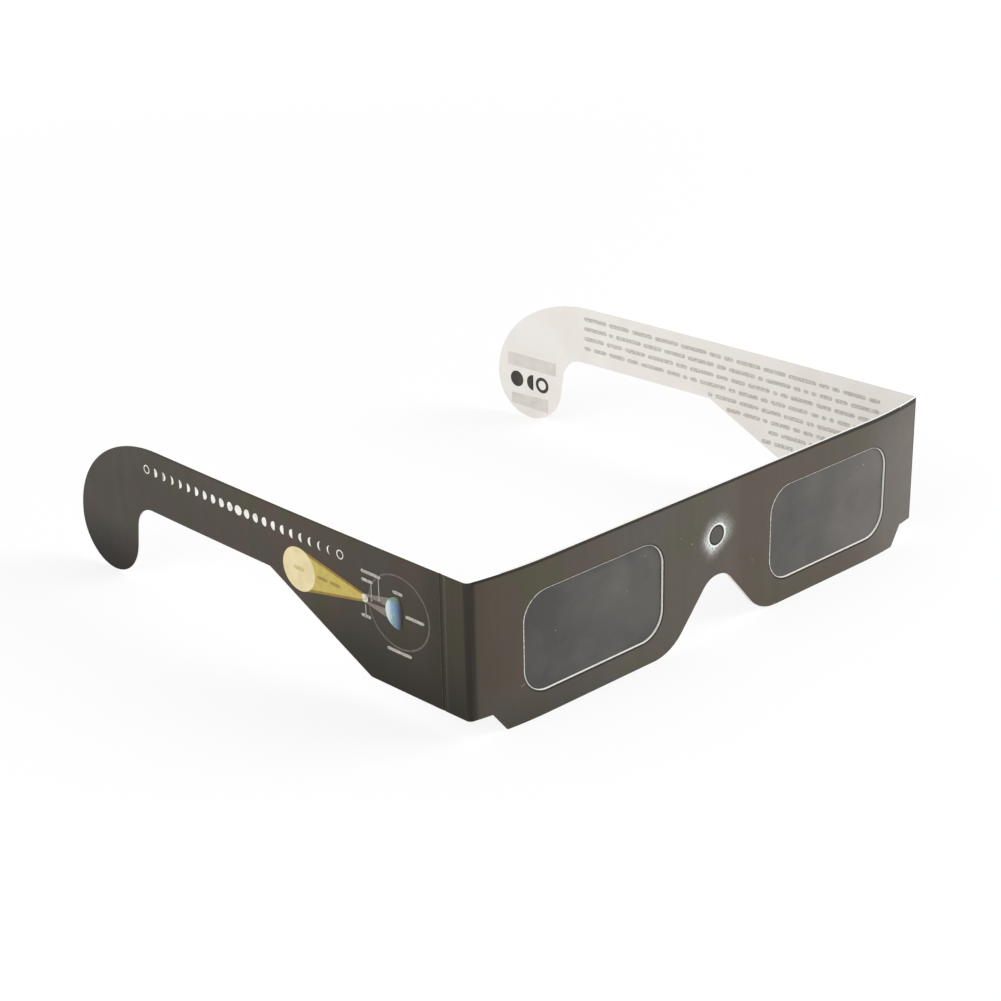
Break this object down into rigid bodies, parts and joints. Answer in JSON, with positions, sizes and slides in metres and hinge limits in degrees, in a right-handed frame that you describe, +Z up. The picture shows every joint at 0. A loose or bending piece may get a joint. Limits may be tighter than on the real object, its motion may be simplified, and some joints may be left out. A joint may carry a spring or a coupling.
{
  "type": "eclipse glasses",
  "caption": "Folding cardboard glasses with dark film filters for looking at the sun, with creased temples that hook over the ears.",
  "frame": {"origin": "on the surface that the glasses stand on, under the middle of their bounding box with the temples at rest", "axes": "+X to the right seen from the front, +Y from the front panel back along the temples, +Z up; the printed front faces -Y"},
  "size_m": [0.1452, 0.132, 0.035],
  "materials": {
    "printed_card": "satin dark print on solid white card",
    "white_card": "matte bare solid card",
    "filter_film": "satin black polymer film",
    "glue": "matte dry glue"
  },
  "bodies": {
    "front": {"front_panel": "printed_card", "back_panel": "white_card", "top_fold": "printed_card", "panel_glue": "glue", "left_filter": "filter_film", "right_filter": "filter_film", "left_corner_crease": "printed_card", "right_corner_crease": "printed_card"},
    "left_arm": {"left_temple": "printed_card"},
    "right_arm": {"right_temple": "printed_card"}
  },
  "joints": [
    {"name": "left_temple_fold", "type": "hinge", "parent": "front", "child": "left_arm", "pos_m": [-0.06621, -0.06291, 0.02], "axis": [0, 0, -1], "range_deg": [-75.5, 93.1], "deforming": ["left_corner_crease"]},
    {"name": "right_temple_fold", "type": "hinge", "parent": "front", "child": "right_arm", "pos_m": [0.07139, -0.06291, 0.02], "axis": [0, 0, 1], "range_deg": [-83.4, 83.5], "deforming": ["right_corner_crease"]}
  ]
}
